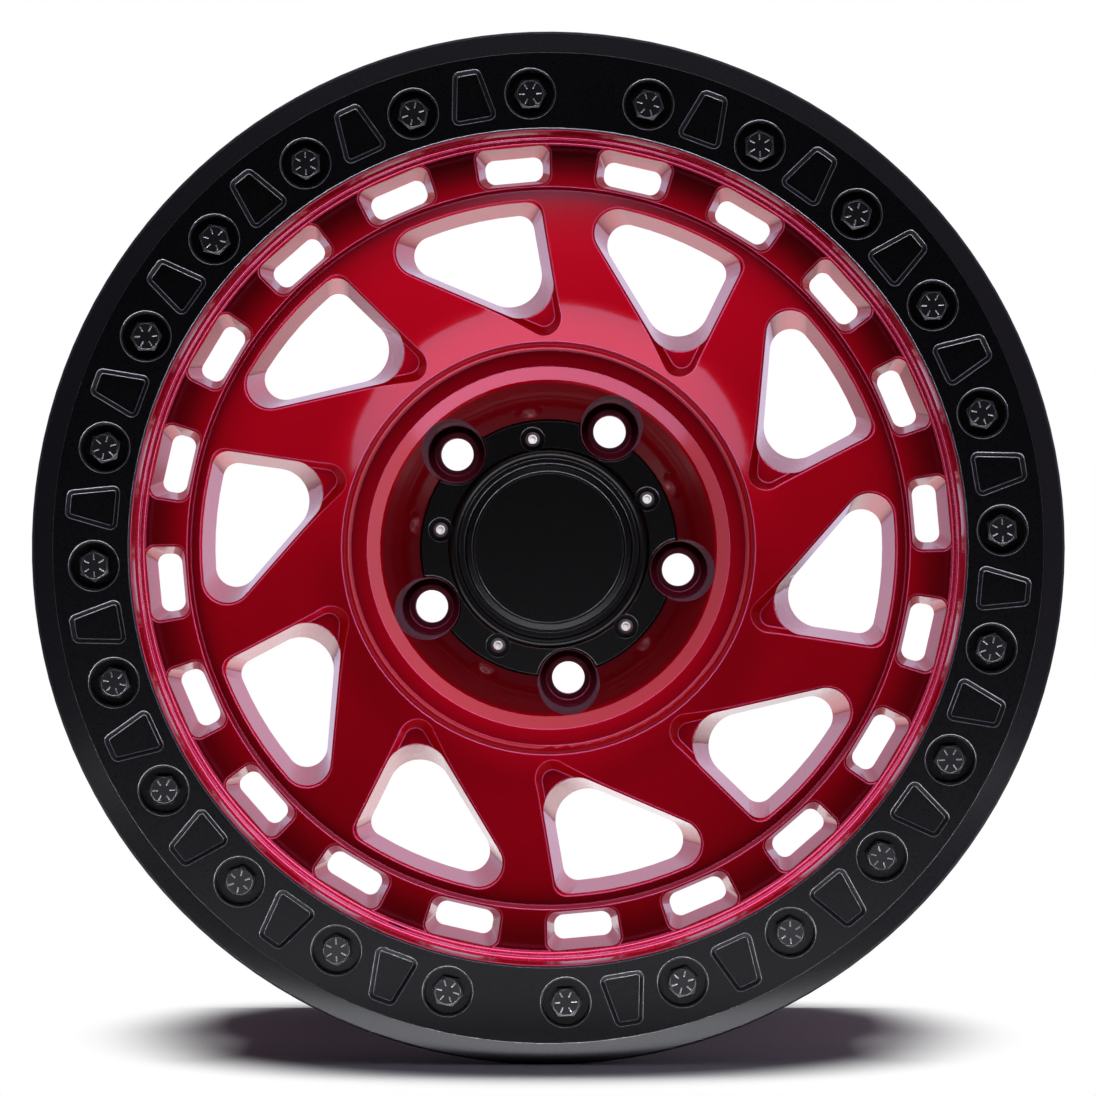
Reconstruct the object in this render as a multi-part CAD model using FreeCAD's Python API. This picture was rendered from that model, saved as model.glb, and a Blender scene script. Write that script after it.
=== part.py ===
import FreeCAD, Part
import math
import os

# Off-road car wheel, 17 x 9 inch, with a bolted bead clamp ring. Millimetres.
# The wheel turns about Y. The origin is on the axis in the plane of the hub mounting face.
# The front of the wheel looks towards -Y and +Z is up.

# Rim
RIM_WIDTH = 228.6
OFFSET = -12.0
FLANGE_THICK = 12.7
BEAD_SEAT = 218.3
FLANGE_RISE = 17.3
BARREL_WALL = 7.5
DROP_DEPTH = 17.3
PILOT_DROP = 1.8
SHOULDER_RISE = 11.2
BEAD_SLOT = 16.0

# Fits
CLEARANCE = 0.3
NOSE_WALL = 3.6
RING_PROUD = 0.4

# Clamp ring
RING_BREADTH = 45.1
RING_THICK = 15.0
RING_COVER = 3.0
RING_BEVEL = 10.2
RING_BEVEL_DEPTH = 4.6
RING_EDGE = 1.0

# Ring bolts, 5/16 inch hex heads
BOLT_COUNT = 24
BOLT_INSET = 28.8
BOLT_ANGLE = 2.24
BOLT_SHANK = 3.97
BOLT_GRIP = 26.0
HEAD_FLATS = 12.7
HEAD_HEIGHT = 5.2
HEAD_WASHER = 0.5
COUNTERBORE = 10.8
COUNTERBORE_DEPTH = 6.0
COUNTERBORE_EDGE = 0.8

# Four-cornered recesses in the ring, left out at two opposite plain places
RECESS_MARGIN = 5.7
RECESS_LENGTH = 24.0
RECESS_WIDE = 10.6
RECESS_NARROW = 6.0
RECESS_CORNER = 3.2
RECESS_SLOPE = 1.9
RECESS_DEPTH = 1.9
PLAIN_PLACES = (5, 17)

# Lip wall, with a drafted mouth and a small step, and slotted band
LIP_EDGE = 0.5
LIP_DRAFT = 0.8
LIP_MOUTH_DEPTH = 12.0
LIP_STEP = 0.9
LIP_STEP_DEPTH = 20.2
BAND_DEPTH = 49.0
BAND_BREADTH = 19.9
BAND_THICK = 18.0
SLOT_COUNT = 20
SLOT_ANGLE = 5.2
SLOT_CORNER = 4.4
SLOT_EDGE = 0.9
# Half width and distance from the band's inner edge of a slot's inner and outer end
SLOT_FRONT = ((16.1, 0.9), (17.6, 18.8))
SLOT_BACK = ((13.2, 3.8), (13.7, 15.0))

# Face with windows
FACE_STEP = 1.3
FACE_DEPTH = 54.0
FACE_TURN = 21.0
FACE_LEAN = 0.034
RIDGE_RISE = 33.5
RIDGE_DEPTH = 49.4
VALLEY_INSET = 4.4
VALLEY_SLOPE = 0.12
FACE_BACK = 84.0
WINDOW_COUNT = 10
WINDOW_ANGLE = 29.87
WINDOW_EDGE = 0.9
WINDOW_FLOOR = 2.8
# Left, tip and right corners of a window at the face and at the back: angle clockwise from the
# window's own line, and distance inwards from the face's edge or, at the tip, out from the ridge
WINDOW_FRONT = ((-20.27, 5.16), (15.95, 0.55), (10.48, 5.1))
WINDOW_BACK = ((-17.52, 9.58), (13.11, 6.6), (8.89, 9.6))
FRONT_RADII = (11.2, 15.0, 7.0)
BACK_RADII = (9.7, 15.2, 7.3)
EDGE_RADII = (11.2, 7.0, 5.6)

# Hub
LUG_COUNT = 5
LUG_CIRCLE = 63.5
LUG_ANGLE = 62.47
LUG_HOLE = 7.9
LUG_SEAT = 10.4
LUG_POCKET = 13.5
LUG_RIM = 15.4
LUG_FLOOR = 16.0
BEVEL_RISE = 21.6
BEVEL_BREADTH = 5.9
BEVEL_DEPTH = 58.5
BOWL_DEPTH = 62.9
BORE = 39.05
BORE_EDGE = 1.6
PAD_RISE = 18.5
RELIEF_HALF = 10.0
RELIEF_DEPTH = 20.0
RELIEF_SPREAD = 32.0
VALVE_HOLE = 5.65
VALVE_ANGLE = 248.3
VALVE_SLANT = 36.0
VALVE_DEPTH = 33.0
VALVE_START = 9.0

# Centre cap and its screws
CAP_INSET = 2.3
CAP_TOP = 94.6
CAP_THICK = 5.0
CAP_BEAD = 15.8
CAP_BEAD_RADIUS = 2.6
CAP_GROOVE = 21.5
CAP_DISC = 25.1
CAP_HOLLOW = 1.5
CAP_EDGE = 0.7
SCREW_COUNT = 5
SCREW_INSET = 8.8
SCREW_ANGLE = 26.47
SCREW_SHANK = 2.0
SCREW_GRIP = 10.0
SCREW_HEAD = 3.5
SCREW_HEIGHT = 2.2
SCREW_SOCKET = 2.5
SCREW_RECESS = 5.7
SCREW_RECESS_DEPTH = 2.4

# Depths along the axis and radii that follow from the sizes above
FRONT = OFFSET - RIM_WIDTH / 2 - FLANGE_THICK
REAR = OFFSET + RIM_WIDTH / 2 + FLANGE_THICK
PILOT = BEAD_SEAT - PILOT_DROP
FLANGE_RADIUS = BEAD_SEAT + FLANGE_RISE
DROP_CENTRE = BEAD_SEAT - DROP_DEPTH
RING_RADIUS = FLANGE_RADIUS + RING_PROUD
RING_INNER = RING_RADIUS - RING_BREADTH
NOSE_RADIUS = RING_INNER - LIP_EDGE + NOSE_WALL
BOLT_CIRCLE = RING_RADIUS - BOLT_INSET
RECESS_INNER = RING_INNER + RECESS_MARGIN
RECESS_OUTER = RECESS_INNER + RECESS_LENGTH
LIP_MOUTH = RING_INNER - LIP_EDGE - LIP_DRAFT
BAND_OUTER = LIP_MOUTH - LIP_STEP - 0.1
BAND_INNER = BAND_OUTER - BAND_BREADTH
FACE_OUTER = BAND_INNER - FACE_STEP
RIDGE = LUG_CIRCLE + RIDGE_RISE
BEVEL_OUTER = LUG_CIRCLE + BEVEL_RISE
BEVEL_INNER = BEVEL_OUTER - BEVEL_BREADTH
PAD_RADIUS = LUG_CIRCLE + PAD_RISE
CAP_RADIUS = LUG_CIRCLE - CAP_INSET
SCREW_CIRCLE = CAP_RADIUS - SCREW_INSET

ORIGIN = FreeCAD.Vector(0, 0, 0)
AXIS = FreeCAD.Vector(0, 1, 0)
FACING = FreeCAD.Vector(0, -1, 0)


def place(radius, depth):
    """Point of the half section at a radius and a depth behind the ring's front face."""
    return FreeCAD.Vector(radius, FRONT + depth, 0)


def local(point, depth, lean=0.0):
    """Point of a feature drawn at the top: first number clockwise, second outwards.

    A lean sets the point further forward the nearer it is to the axis, as the face does.
    """
    return FreeCAD.Vector(point[0], FRONT + depth + lean * (point[1] - FACE_OUTER), point[1])


def turned(shape, angle):
    """Copy of a feature drawn at the top, moved to an angle seen from the front."""
    moved = shape.copy()
    moved.rotate(ORIGIN, FACING, angle - 90)
    return moved


def ring_of(shape, count, start):
    """Copies of a feature spread evenly round the axis."""
    step = 360.0 / count
    return [turned(shape, start + step * index) for index in range(count)]


def turned_solid(steps):
    """Solid of revolution from a closed half section of points and three-point arcs."""
    first = place(*steps[0])
    here = first
    edges = []
    for step in steps[1:] + [steps[0]]:
        if len(step) == 4:
            middle = place(step[0], step[1])
            end = place(step[2], step[3])
            edges.append(Part.Arc(here, middle, end).toShape())
        else:
            end = place(*step)
            edges.append(Part.makeLine(here, end))
        here = end
    return Part.Face(Part.Wire(edges)).revolve(ORIGIN, AXIS, 360)


def tube(radius, start, end, circle, far_radius=None):
    """Round cutter along the axis at the top of a circle, straight or tapered."""
    base = FreeCAD.Vector(0, FRONT + start, circle)
    if far_radius is None:
        return Part.makeCylinder(radius, end - start, base, AXIS)
    return Part.makeCone(radius, far_radius, end - start, base, AXIS)


def unit(vector):
    """Flat vector of length one."""
    length = math.hypot(vector[0], vector[1])
    return (vector[0] / length, vector[1] / length)


def inward(start, end):
    """Unit normal on the left of a line, which is its inner side."""
    along = unit((end[0] - start[0], end[1] - start[1]))
    return (-along[1], along[0])


def shifted(point, normal, distance):
    """Point moved along a normal."""
    return (point[0] + normal[0] * distance, point[1] + normal[1] * distance)


def crossing(point_a, normal_a, point_b, normal_b):
    """Point where two lines meet, each given by a point and its normal."""
    reach_a = normal_a[0] * point_a[0] + normal_a[1] * point_a[1]
    reach_b = normal_b[0] * point_b[0] + normal_b[1] * point_b[1]
    turn = normal_a[0] * normal_b[1] - normal_a[1] * normal_b[0]
    x = (reach_a * normal_b[1] - reach_b * normal_a[1]) / turn
    y = (normal_a[0] * reach_b - normal_b[0] * reach_a) / turn
    return (x, y)


def corner_arc(centre, radius, from_normal, to_normal, depth, lean=0.0):
    """Rounded corner between two sides with the given outward normals."""
    middle = unit((from_normal[0] + to_normal[0], from_normal[1] + to_normal[1]))
    ways = (from_normal, middle, to_normal)
    points = [local(shifted(centre, way, radius), depth, lean) for way in ways]
    return Part.Arc(points[0], points[1], points[2]).toShape()


def rounded_outline(corners, radius, grow, depth):
    """Closed outline of straight sides, anticlockwise corners, rounded and grown evenly."""
    count = len(corners)
    normals = [inward(corners[i], corners[(i + 1) % count]) for i in range(count)]
    reach = radius + grow
    centres = []
    for i in range(count):
        before = shifted(corners[i], normals[i - 1], radius)
        after = shifted(corners[i], normals[i], radius)
        centres.append(crossing(before, normals[i - 1], after, normals[i]))
    edges = []
    for i in range(count):
        outward_before = (-normals[i - 1][0], -normals[i - 1][1])
        outward_after = (-normals[i][0], -normals[i][1])
        edges.append(corner_arc(centres[i], reach, outward_before, outward_after, depth))
        follow = centres[(i + 1) % count]
        start = local(shifted(centres[i], outward_after, reach), depth)
        end = local(shifted(follow, outward_after, reach), depth)
        edges.append(Part.makeLine(start, end))
    return Part.Wire(edges)


def arc_corner_centre(side_point, side_normal, big_radius, radius, near):
    """Centre of a corner that rounds a straight side into the arc about the axis."""
    base = shifted(side_point, side_normal, radius)
    reach = side_normal[0] * base[0] + side_normal[1] * base[1]
    along = (-side_normal[1], side_normal[0])
    half = math.sqrt((big_radius - radius) ** 2 - reach ** 2)
    foot = (side_normal[0] * reach, side_normal[1] * reach)
    options = [shifted(foot, along, half), shifted(foot, along, -half)]
    return min(options, key=lambda p: math.hypot(p[0] - near[0], p[1] - near[1]))


def window_outline(left, tip, right, radii, grow, depth):
    """Three-cornered outline: two straight sides and an arc about the axis on the outside."""
    arc_radius = math.hypot(left[0], left[1]) + grow
    low = inward(left, tip)
    side = inward(tip, right)
    low_point = shifted(left, low, -grow)
    side_point = shifted(tip, side, -grow)
    left_radius, tip_radius, right_radius = [radius + grow for radius in radii]
    left_centre = arc_corner_centre(low_point, low, arc_radius, left_radius, left)
    right_centre = arc_corner_centre(side_point, side, arc_radius, right_radius, right)
    tip_centre = crossing(
        shifted(low_point, low, tip_radius), low, shifted(side_point, side, tip_radius), side)
    low_out = (-low[0], -low[1])
    side_out = (-side[0], -side[1])
    left_out = unit(left_centre)
    right_out = unit(right_centre)
    middle_out = unit((left_out[0] + right_out[0], left_out[1] + right_out[1]))
    lean = FACE_LEAN
    edges = [
        Part.makeLine(
            local(shifted(left_centre, low_out, left_radius), depth, lean),
            local(shifted(tip_centre, low_out, tip_radius), depth, lean)),
        corner_arc(tip_centre, tip_radius, low_out, side_out, depth, lean),
        Part.makeLine(
            local(shifted(tip_centre, side_out, tip_radius), depth, lean),
            local(shifted(right_centre, side_out, right_radius), depth, lean)),
        corner_arc(right_centre, right_radius, side_out, right_out, depth, lean),
        Part.Arc(
            local(shifted(right_centre, right_out, right_radius), depth, lean),
            local((middle_out[0] * arc_radius, middle_out[1] * arc_radius), depth, lean),
            local(shifted(left_centre, left_out, left_radius), depth, lean)).toShape(),
        corner_arc(left_centre, left_radius, left_out, low_out, depth, lean),
    ]
    return Part.Wire(edges)


def ruled(*outlines):
    """Solid with straight walls through a row of outlines."""
    return Part.makeLoft(list(outlines), True, True)


def between(front, back, share):
    """Corners a share of the way from the front ones to the back ones."""
    mixed = []
    for near, far in zip(front, back):
        mixed.append((near[0] + (far[0] - near[0]) * share, near[1] + (far[1] - near[1]) * share))
    return mixed


def slot_corners(ends):
    """Four corners of a slot, anticlockwise, from the half width and place of its two ends."""
    (inner_half, inner), (outer_half, outer) = ends
    low = BAND_INNER + inner
    high = BAND_INNER + outer
    return [(-inner_half, low), (inner_half, low), (outer_half, high), (-outer_half, high)]


def window_corners(ends):
    """Left, tip and right corners of a window from their angles and margins."""
    (left_turn, left), (tip_turn, tip), (right_turn, right) = ends
    spots = ((left_turn, FACE_OUTER - left), (tip_turn, RIDGE + tip), (right_turn, FACE_OUTER - right))
    return [
        (radius * math.sin(math.radians(turn)), radius * math.cos(math.radians(turn)))
        for turn, radius in spots]


def slot_cutter():
    """One slot through the band, narrowing to the back, with a bevelled front edge."""
    spare = 4.0
    past = 1.0 + spare / BAND_THICK
    front = slot_corners(SLOT_FRONT)
    back = between(front, slot_corners(SLOT_BACK), past)
    return ruled(
        rounded_outline(front, SLOT_CORNER, SLOT_EDGE * 2, BAND_DEPTH - SLOT_EDGE),
        rounded_outline(front, SLOT_CORNER, 0.0, BAND_DEPTH + SLOT_EDGE),
        rounded_outline(back, SLOT_CORNER, 0.0, BAND_DEPTH + BAND_THICK + spare))


def window_cutters():
    """Through cut of a window, and its bevelled edge with a floor in the sharp tip."""
    spare = 6.0
    thick = FACE_BACK - FACE_DEPTH
    front = window_corners(WINDOW_FRONT)
    back = window_corners(WINDOW_BACK)
    levels = []
    for depth in (-spare, thick + spare):
        share = depth / thick
        radii = [near + (far - near) * share for near, far in zip(FRONT_RADII, BACK_RADII)]
        corners = between(front, back, share)
        levels.append(window_outline(*corners, radii, 0.0, FACE_DEPTH + depth))
    grow = WINDOW_EDGE + spare
    edge = ruled(
        window_outline(*front, EDGE_RADII, grow, FACE_DEPTH - spare),
        window_outline(*front, EDGE_RADII, WINDOW_EDGE - WINDOW_FLOOR, FACE_DEPTH + WINDOW_FLOOR))
    return [ruled(*levels), edge]


def valve_cutter():
    """Slanting round hole from the lip wall into the air space of the tyre."""
    slant = math.radians(VALVE_SLANT)
    start = FreeCAD.Vector(0, FRONT + VALVE_DEPTH, BAND_OUTER - VALVE_START)
    way = FreeCAD.Vector(0, math.sin(slant), math.cos(slant))
    reach = (RING_RADIUS - BAND_OUTER) / math.cos(slant)
    return Part.makeCylinder(VALVE_HOLE, reach, start, way)


def relief_cutter():
    """Hollow in the mounting pad between two lug holes."""
    start = -FRONT - RELIEF_DEPTH
    steps = [
        place(LUG_CIRCLE - RELIEF_HALF, start),
        place(LUG_CIRCLE + RELIEF_HALF, start),
        place(LUG_CIRCLE + RELIEF_HALF + 1.5, -FRONT + 1.0),
        place(LUG_CIRCLE - RELIEF_HALF - 1.5, -FRONT + 1.0),
    ]
    wire = Part.makePolygon(steps + [steps[0]])
    hollow = Part.Face(wire).revolve(ORIGIN, FACING, RELIEF_SPREAD)
    hollow.rotate(ORIGIN, FACING, 90 - RELIEF_SPREAD / 2)
    return hollow


def lug_cutter():
    """Lug hole with its conical seat and socket pocket."""
    floor = -FRONT - LUG_FLOOR
    seat = (LUG_SEAT - LUG_HOLE) * math.sqrt(3)
    hole = tube(LUG_HOLE, floor, -FRONT + 1.0, LUG_CIRCLE)
    cone = tube(LUG_SEAT, floor, floor + seat, LUG_CIRCLE, LUG_HOLE)
    pocket = tube(LUG_RIM, BOWL_DEPTH, floor, LUG_CIRCLE, LUG_POCKET)
    return pocket.fuse([cone, hole])


def casting_section():
    """Half section of the casting before the slots, windows and holes."""
    end = REAR - FRONT
    seat = CAP_TOP + CAP_THICK
    inner = DROP_CENTRE - BARREL_WALL
    pilot_end = RING_THICK + BEAD_SLOT
    shoulder = PILOT + SHOULDER_RISE
    back = BAND_DEPTH + BAND_THICK
    drop_start = back - 4.0
    drop_end = -FRONT - 26.0
    rise_end = end - 102.0
    valley_depth = BEVEL_DEPTH - VALLEY_SLOPE * (RIDGE - VALLEY_INSET - BEVEL_OUTER)
    turn = RIDGE + FACE_TURN
    turn_depth = FACE_DEPTH - FACE_LEAN * (FACE_OUTER - turn)
    return [
        (NOSE_RADIUS, RING_COVER),
        (RING_INNER - LIP_EDGE + 0.3, RING_COVER),
        (RING_INNER - LIP_EDGE, RING_COVER + 0.6),
        (LIP_MOUTH, LIP_MOUTH_DEPTH),
        (LIP_MOUTH - 0.1, LIP_STEP_DEPTH - 1.2),
        (LIP_MOUTH - LIP_STEP, LIP_STEP_DEPTH),
        (BAND_OUTER, BAND_DEPTH - 0.4),
        (BAND_OUTER - 0.4, BAND_DEPTH),
        (BAND_INNER, BAND_DEPTH),
        (FACE_OUTER, FACE_DEPTH),
        (turn, turn_depth),
        (RIDGE + 9.0, turn_depth - 1.1, RIDGE + 0.8, RIDGE_DEPTH),
        (RIDGE - 0.4, RIDGE_DEPTH - 0.3),
        (RIDGE - 1.2, RIDGE_DEPTH + 0.8),
        (RIDGE - 2.0, valley_depth - 2.0, RIDGE - VALLEY_INSET, valley_depth),
        (BEVEL_OUTER, BEVEL_DEPTH),
        (BEVEL_INNER, BOWL_DEPTH),
        (BEVEL_INNER - 1.3, BOWL_DEPTH + 1.6),
        (CAP_RADIUS + CLEARANCE, CAP_TOP - 0.2),
        (CAP_RADIUS + CLEARANCE, seat),
        (BORE, seat),
        (BORE, -FRONT - BORE_EDGE),
        (BORE + BORE_EDGE, -FRONT),
        (PAD_RADIUS - 1.5, -FRONT),
        (PAD_RADIUS, -FRONT - 1.5),
        (PAD_RADIUS + 5.0, FACE_BACK + 16.0),
        (PAD_RADIUS + 7.5, FACE_BACK + 6.5, RIDGE + 1.0, FACE_BACK + 2.5),
        (BAND_INNER - 7.0, FACE_BACK - 2.0),
        (BAND_INNER - 1.0, back),
        (inner - 4.0, back),
        (inner, back + 6.0),
        (inner, drop_end - 1.0),
        (BEAD_SEAT - 4.0 - BARREL_WALL, rise_end - 2.0),
        (BEAD_SEAT - BARREL_WALL, end - FLANGE_THICK),
        (BEAD_SEAT - BARREL_WALL + 3.5, end - 6.5),
        (FLANGE_RADIUS - 9.0, end),
        (FLANGE_RADIUS - 2.6, end),
        (FLANGE_RADIUS, end - 2.6),
        (FLANGE_RADIUS, end - 7.5),
        (FLANGE_RADIUS - 3.6, end - 11.4),
        (BEAD_SEAT + 2.6, end - FLANGE_THICK),
        (BEAD_SEAT, end - FLANGE_THICK - 3.0),
        (BEAD_SEAT - 1.6, end - FLANGE_THICK - 22.0),
        (BEAD_SEAT + 0.6, end - FLANGE_THICK - 27.0),
        (BEAD_SEAT - 1.8, end - FLANGE_THICK - 33.0),
        (BEAD_SEAT - 4.0, rise_end),
        (DROP_CENTRE, drop_end),
        (DROP_CENTRE, drop_start),
        (PILOT, pilot_end + 15.0),
        (shoulder, pilot_end + 8.0),
        (shoulder, pilot_end + 1.2),
        (shoulder - 1.2, pilot_end),
        (PILOT, pilot_end),
        (PILOT, RING_THICK + 1.0),
        (PILOT - 1.0, RING_THICK),
        (NOSE_RADIUS, RING_THICK),
    ]


def make_casting():
    """One-piece wheel casting with all its openings and holes."""
    cuts = []
    cuts.extend(ring_of(slot_cutter(), SLOT_COUNT, SLOT_ANGLE))
    for cutter in window_cutters():
        cuts.extend(ring_of(cutter, WINDOW_COUNT, WINDOW_ANGLE))
    cuts.extend(ring_of(lug_cutter(), LUG_COUNT, LUG_ANGLE))
    relief_start = LUG_ANGLE + 180.0 / LUG_COUNT
    cuts.extend(ring_of(relief_cutter(), LUG_COUNT, relief_start))
    bolt_end = COUNTERBORE_DEPTH + BOLT_GRIP + 2.0
    tapped = tube(BOLT_SHANK + CLEARANCE, RING_THICK - 1.0, bolt_end, BOLT_CIRCLE)
    cuts.extend(ring_of(tapped, BOLT_COUNT, BOLT_ANGLE))
    seat = CAP_TOP + CAP_THICK
    screw_end = CAP_TOP + SCREW_RECESS_DEPTH + SCREW_GRIP + 2.0
    drilled = tube(SCREW_SHANK + CLEARANCE, seat - 1.0, screw_end, SCREW_CIRCLE)
    cuts.extend(ring_of(drilled, SCREW_COUNT, SCREW_ANGLE))
    cuts.append(turned(valve_cutter(), VALVE_ANGLE))
    return turned_solid(casting_section()).cut(cuts)


def make_ring():
    """Clamp ring with counterbored bolt holes and shallow recesses."""
    covered = NOSE_RADIUS + CLEARANCE
    body = turned_solid([
        (RING_INNER + 0.5, 0.0),
        (RING_INNER, 0.5),
        (RING_INNER, RING_COVER),
        (covered, RING_COVER),
        (covered, RING_THICK),
        (RING_RADIUS - RING_EDGE, RING_THICK),
        (RING_RADIUS, RING_THICK - RING_EDGE),
        (RING_RADIUS, RING_BEVEL_DEPTH + RING_EDGE),
        (RING_RADIUS - RING_EDGE, RING_BEVEL_DEPTH),
        (RING_RADIUS - RING_BEVEL, 0.0),
    ])
    edge = COUNTERBORE_EDGE
    seat = tube(COUNTERBORE, edge, COUNTERBORE_DEPTH, BOLT_CIRCLE)
    bevel = tube(COUNTERBORE + 2 * edge, -edge, edge, BOLT_CIRCLE, COUNTERBORE)
    hole = tube(BOLT_SHANK + CLEARANCE, 1.0, RING_THICK + 1.0, BOLT_CIRCLE)
    cuts = ring_of(seat.fuse([bevel, hole]), BOLT_COUNT, BOLT_ANGLE)
    corners = (
        (-RECESS_WIDE, RECESS_INNER), (RECESS_WIDE, RECESS_INNER),
        (RECESS_NARROW, RECESS_OUTER), (-RECESS_NARROW, RECESS_OUTER))
    recess = ruled(
        rounded_outline(corners, RECESS_CORNER, RECESS_SLOPE, -RECESS_DEPTH),
        rounded_outline(corners, RECESS_CORNER, -RECESS_SLOPE, RECESS_DEPTH))
    step = 360.0 / BOLT_COUNT
    for index in range(BOLT_COUNT):
        if index not in PLAIN_PLACES:
            cuts.append(turned(recess, BOLT_ANGLE + step * (index + 0.5)))
    return body.cut(cuts)


def make_bolt():
    """Hex head bolt with a washer face and a bevelled crown."""
    corner = HEAD_FLATS / math.sqrt(3)
    under = COUNTERBORE_DEPTH
    top = under - HEAD_HEIGHT
    points = []
    for index in range(7):
        angle = math.radians(60 * index)
        points.append(local((corner * math.cos(angle), BOLT_CIRCLE + corner * math.sin(angle)), top))
    depth = FreeCAD.Vector(0, HEAD_HEIGHT - HEAD_WASHER, 0)
    prism = Part.Face(Part.makePolygon(points)).extrude(depth)
    crown = tube(HEAD_FLATS * 0.46, top, under, BOLT_CIRCLE, HEAD_FLATS * 0.46 + HEAD_HEIGHT * 1.73)
    head = prism.common(crown)
    washer = tube(HEAD_FLATS * 0.49, under - HEAD_WASHER, under, BOLT_CIRCLE)
    shank = tube(BOLT_SHANK, under - HEAD_WASHER, under + BOLT_GRIP, BOLT_CIRCLE)
    return head.fuse([washer, shank]).removeSplitter()


def make_cap():
    """Centre cap with a flange scalloped round the lug pockets, a bead and a plain disc."""
    flat = CAP_TOP
    base = CAP_TOP + CAP_THICK
    bead = CAP_RADIUS - CAP_BEAD
    bead_out = bead + CAP_BEAD_RADIUS
    bead_in = bead - CAP_BEAD_RADIUS
    groove = CAP_RADIUS - CAP_GROOVE
    disc = CAP_RADIUS - CAP_DISC
    hollow = BORE + BORE_EDGE
    body = turned_solid([
        (0.0, flat - 1.2),
        (disc - 0.5, flat - 1.2),
        (disc, flat - 0.4),
        (disc + 0.5, flat - 1.0),
        (groove - 0.6, flat - 0.6),
        (groove, flat + 0.4),
        (groove + 0.6, flat - 0.4),
        (bead_in, flat - 0.4),
        (bead, flat - CAP_BEAD_RADIUS, bead_out, flat),
        (CAP_RADIUS - CAP_EDGE, flat),
        (CAP_RADIUS, flat + CAP_EDGE),
        (CAP_RADIUS, base),
        (hollow, base),
        (hollow, base - CAP_HOLLOW),
        (0.0, base - CAP_HOLLOW),
    ])
    edge = CAP_EDGE
    scallop_radius = LUG_POCKET + 1.0
    scallop = tube(scallop_radius, flat - 4.0, base + 1.0, LUG_CIRCLE)
    scallop_bevel = tube(scallop_radius + 2 * edge, flat - edge, flat + edge, LUG_CIRCLE, scallop_radius)
    cuts = ring_of(scallop.fuse(scallop_bevel), LUG_COUNT, LUG_ANGLE)
    recess = tube(SCREW_RECESS, flat - 4.0, flat + SCREW_RECESS_DEPTH, SCREW_CIRCLE)
    hole = tube(SCREW_SHANK + CLEARANCE, flat, base + 1.0, SCREW_CIRCLE)
    cuts.extend(ring_of(recess.fuse(hole), SCREW_COUNT, SCREW_ANGLE))
    return body.cut(cuts)


def make_screw():
    """Low round-headed socket screw."""
    under = CAP_TOP + SCREW_RECESS_DEPTH
    top = under - SCREW_HEIGHT
    rim = tube(SCREW_HEAD, under - 0.7, under, SCREW_CIRCLE)
    dome = tube(SCREW_HEAD * 0.62, top, under - 0.7, SCREW_CIRCLE, SCREW_HEAD)
    shank = tube(SCREW_SHANK, under - 0.7, under + SCREW_GRIP, SCREW_CIRCLE)
    corner = SCREW_SOCKET / math.sqrt(3)
    points = []
    for index in range(7):
        angle = math.radians(60 * index)
        points.append(local((corner * math.cos(angle), SCREW_CIRCLE + corner * math.sin(angle)), top - 1))
    socket = Part.Face(Part.makePolygon(points)).extrude(FreeCAD.Vector(0, 2.3, 0))
    return rim.fuse([dome, shank]).removeSplitter().cut(socket)


os.makedirs("parts", exist_ok=True)
make_casting().exportStep("parts/wheel_casting.step")
make_ring().exportStep("parts/clamp_ring.step")
Part.makeCompound(ring_of(make_bolt(), BOLT_COUNT, BOLT_ANGLE)).exportStep("parts/ring_bolts.step")
make_cap().exportStep("parts/centre_cap.step")
Part.makeCompound(ring_of(make_screw(), SCREW_COUNT, SCREW_ANGLE)).exportStep("parts/cap_screws.step")
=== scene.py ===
"""Looks of an off-road wheel: red casting with pale ribs on its lip wall that carry painted highlight lines,
black clamp ring, ring bolts with raised marks on their heads, centre cap and cap screws.

The wheel's axis lies along Y with its front towards -Y. Sizes are in metres and angles in degrees.
"""

import logging
import math
from dataclasses import dataclass
from enum import Enum
from typing import Union

import bmesh
import bpy
from mathutils import Matrix, Vector


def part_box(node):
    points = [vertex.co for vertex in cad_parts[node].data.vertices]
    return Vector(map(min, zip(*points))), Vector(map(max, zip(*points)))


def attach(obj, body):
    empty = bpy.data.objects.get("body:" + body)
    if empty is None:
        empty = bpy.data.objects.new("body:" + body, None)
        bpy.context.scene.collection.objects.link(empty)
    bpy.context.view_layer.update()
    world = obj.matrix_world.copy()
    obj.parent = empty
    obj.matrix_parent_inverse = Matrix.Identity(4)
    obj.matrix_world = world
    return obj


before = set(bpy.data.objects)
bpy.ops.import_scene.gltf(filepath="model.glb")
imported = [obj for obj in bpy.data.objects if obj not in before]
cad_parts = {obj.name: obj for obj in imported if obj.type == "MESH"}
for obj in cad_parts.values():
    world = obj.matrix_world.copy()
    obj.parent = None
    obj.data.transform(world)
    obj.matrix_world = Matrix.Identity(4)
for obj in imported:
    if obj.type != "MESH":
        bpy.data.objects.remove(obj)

LOG = logging.getLogger("off_road_wheel")

BODY = "root"
MM = 0.001
FULL_TURN = 2.0 * math.pi
AXIS = Vector((0.0, 1.0, 0.0))
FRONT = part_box("clamp_ring")[0].y
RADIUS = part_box("clamp_ring")[1].z

# Angle of +Z round the axis, measured from +X.
UPRIGHT = 90.0

# Height of the lamps that lie just above the floor.
GLOW_HEIGHT = -0.2355

Colour = tuple[float, float, float]
Source = Union[bpy.types.NodeSocket, float, Colour]

WHITE: Colour = (1.0, 1.0, 1.0)
COOL_WHITE: Colour = (0.98, 0.99, 1.05)

# Inputs and output of Blender's Mix node for each type of data.
MIX_SOCKETS = {"FLOAT": (2, 3, 0), "RGBA": (6, 7, 2)}

# Light Path counts bounces in whole numbers, so half a bounce tells none from some.
HALF_BOUNCE = 0.5


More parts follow.
